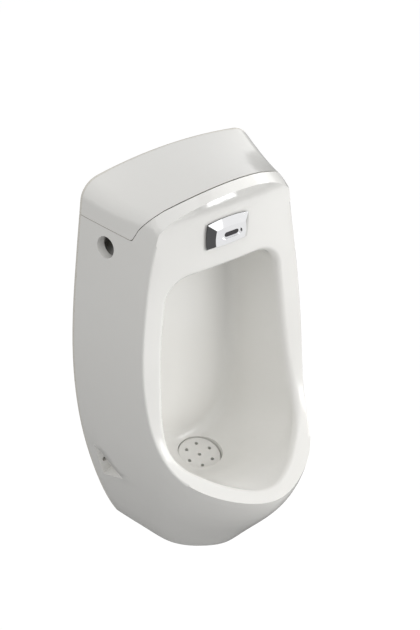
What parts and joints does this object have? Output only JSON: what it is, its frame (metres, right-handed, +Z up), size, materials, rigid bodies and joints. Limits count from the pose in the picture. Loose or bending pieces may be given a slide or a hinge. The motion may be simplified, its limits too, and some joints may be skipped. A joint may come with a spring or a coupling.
{
  "type": "wall hung urinal",
  "caption": "White ceramic wall hung urinal with a lift-off lid, deep bowl, strainer cover and a built-in sensor flush valve above the bowl.",
  "frame": {"origin": "on the wall face, on the plane of symmetry, midway between the four hanger screws", "axes": "+X to the user's right, +Y into the wall, +Z up"},
  "size_m": [0.3626, 0.312, 0.709],
  "materials": {
    "ceramic": "white glaze, glossy",
    "chrome": "bright chrome plate",
    "dark_window": "dark infrared plastic, glossy",
    "soft_rubber": "black rubber",
    "plated_brass": "nickel plated brass",
    "white_plastic": "moulded plastic, satin",
    "black_plastic": "moulded plastic, satin",
    "steel": "plain steel",
    "board_green": "lacquered circuit board",
    "eye": "clear dark resin",
    "cell_wrap": "wrapped steel can, plain",
    "lead_black": "soft black sheath"
  },
  "bodies": {
    "urinal": {"body": "ceramic", "sensor_cover": "chrome", "spreader": "chrome", "sensor_window": "dark_window", "lid_pads": "soft_rubber", "waste_gasket": "soft_rubber", "wall_seal": "soft_rubber", "trap_seal": "soft_rubber", "spud_gasket": "soft_rubber", "sensor_gasket": "soft_rubber", "diaphragm": "soft_rubber", "union_washer": "soft_rubber", "stop_valve": "plated_brass", "union_nut": "plated_brass", "spud": "plated_brass", "spud_nut": "plated_brass", "tube_nut_valve": "plated_brass", "tube_nut_spud": "plated_brass", "waste_fitting": "white_plastic", "waste_nut": "white_plastic", "trap": "white_plastic", "trap_nut": "white_plastic", "waste_washer": "white_plastic", "spud_washer": "white_plastic", "battery_box": "black_plastic", "sensor_housing": "black_plastic", "valve_body": "black_plastic", "bonnet": "black_plastic", "coil": "black_plastic", "hanger_bracket_left": "steel", "hanger_bracket_right": "steel", "sensor_clamp": "steel", "sensor_studs": "steel", "sensor_wing_nuts": "steel", "bonnet_screws": "steel", "coil_nut": "steel", "plunger_spring": "steel", "supply_tube": "steel", "inlet_filter": "steel", "battery_contacts": "steel", "sensor_board": "board_green", "sensor_eyes": "eye", "battery_cells": "cell_wrap", "sensor_lead": "lead_black", "battery_lead": "lead_black"},
    "lid": {"lid": "ceramic"},
    "strainer": {"strainer": "ceramic"},
    "stop_lever": {"stop_lever": "chrome"},
    "plunger": {"plunger": "steel"},
    "battery_cover": {"battery_cover": "black_plastic"}
  },
  "joints": [
    {"name": "lid_lift", "type": "slide", "parent": "urinal", "child": "lid", "axis": [0, 0, 1], "range_m": [0, 0.12]},
    {"name": "strainer_lift", "type": "slide", "parent": "urinal", "child": "strainer", "axis": [0, -0.309, 0.9511], "range_m": [0, 0.06]},
    {"name": "stop_lever_turn", "type": "hinge", "parent": "urinal", "child": "stop_lever", "pos_m": [0.06, -0.033, 0.047], "axis": [0, 0, 1], "range_deg": [-90, 0]},
    {"name": "plunger_slide", "type": "slide", "parent": "urinal", "child": "plunger", "axis": [0, 0, 1], "range_m": [0, 0.002], "stiffness_N_per_m": 200, "springref_m": -0.004, "deforming": ["plunger_spring"]},
    {"name": "battery_cover_lift", "type": "slide", "parent": "urinal", "child": "battery_cover", "axis": [0, 0, 1], "range_m": [0, 0.05]}
  ]
}
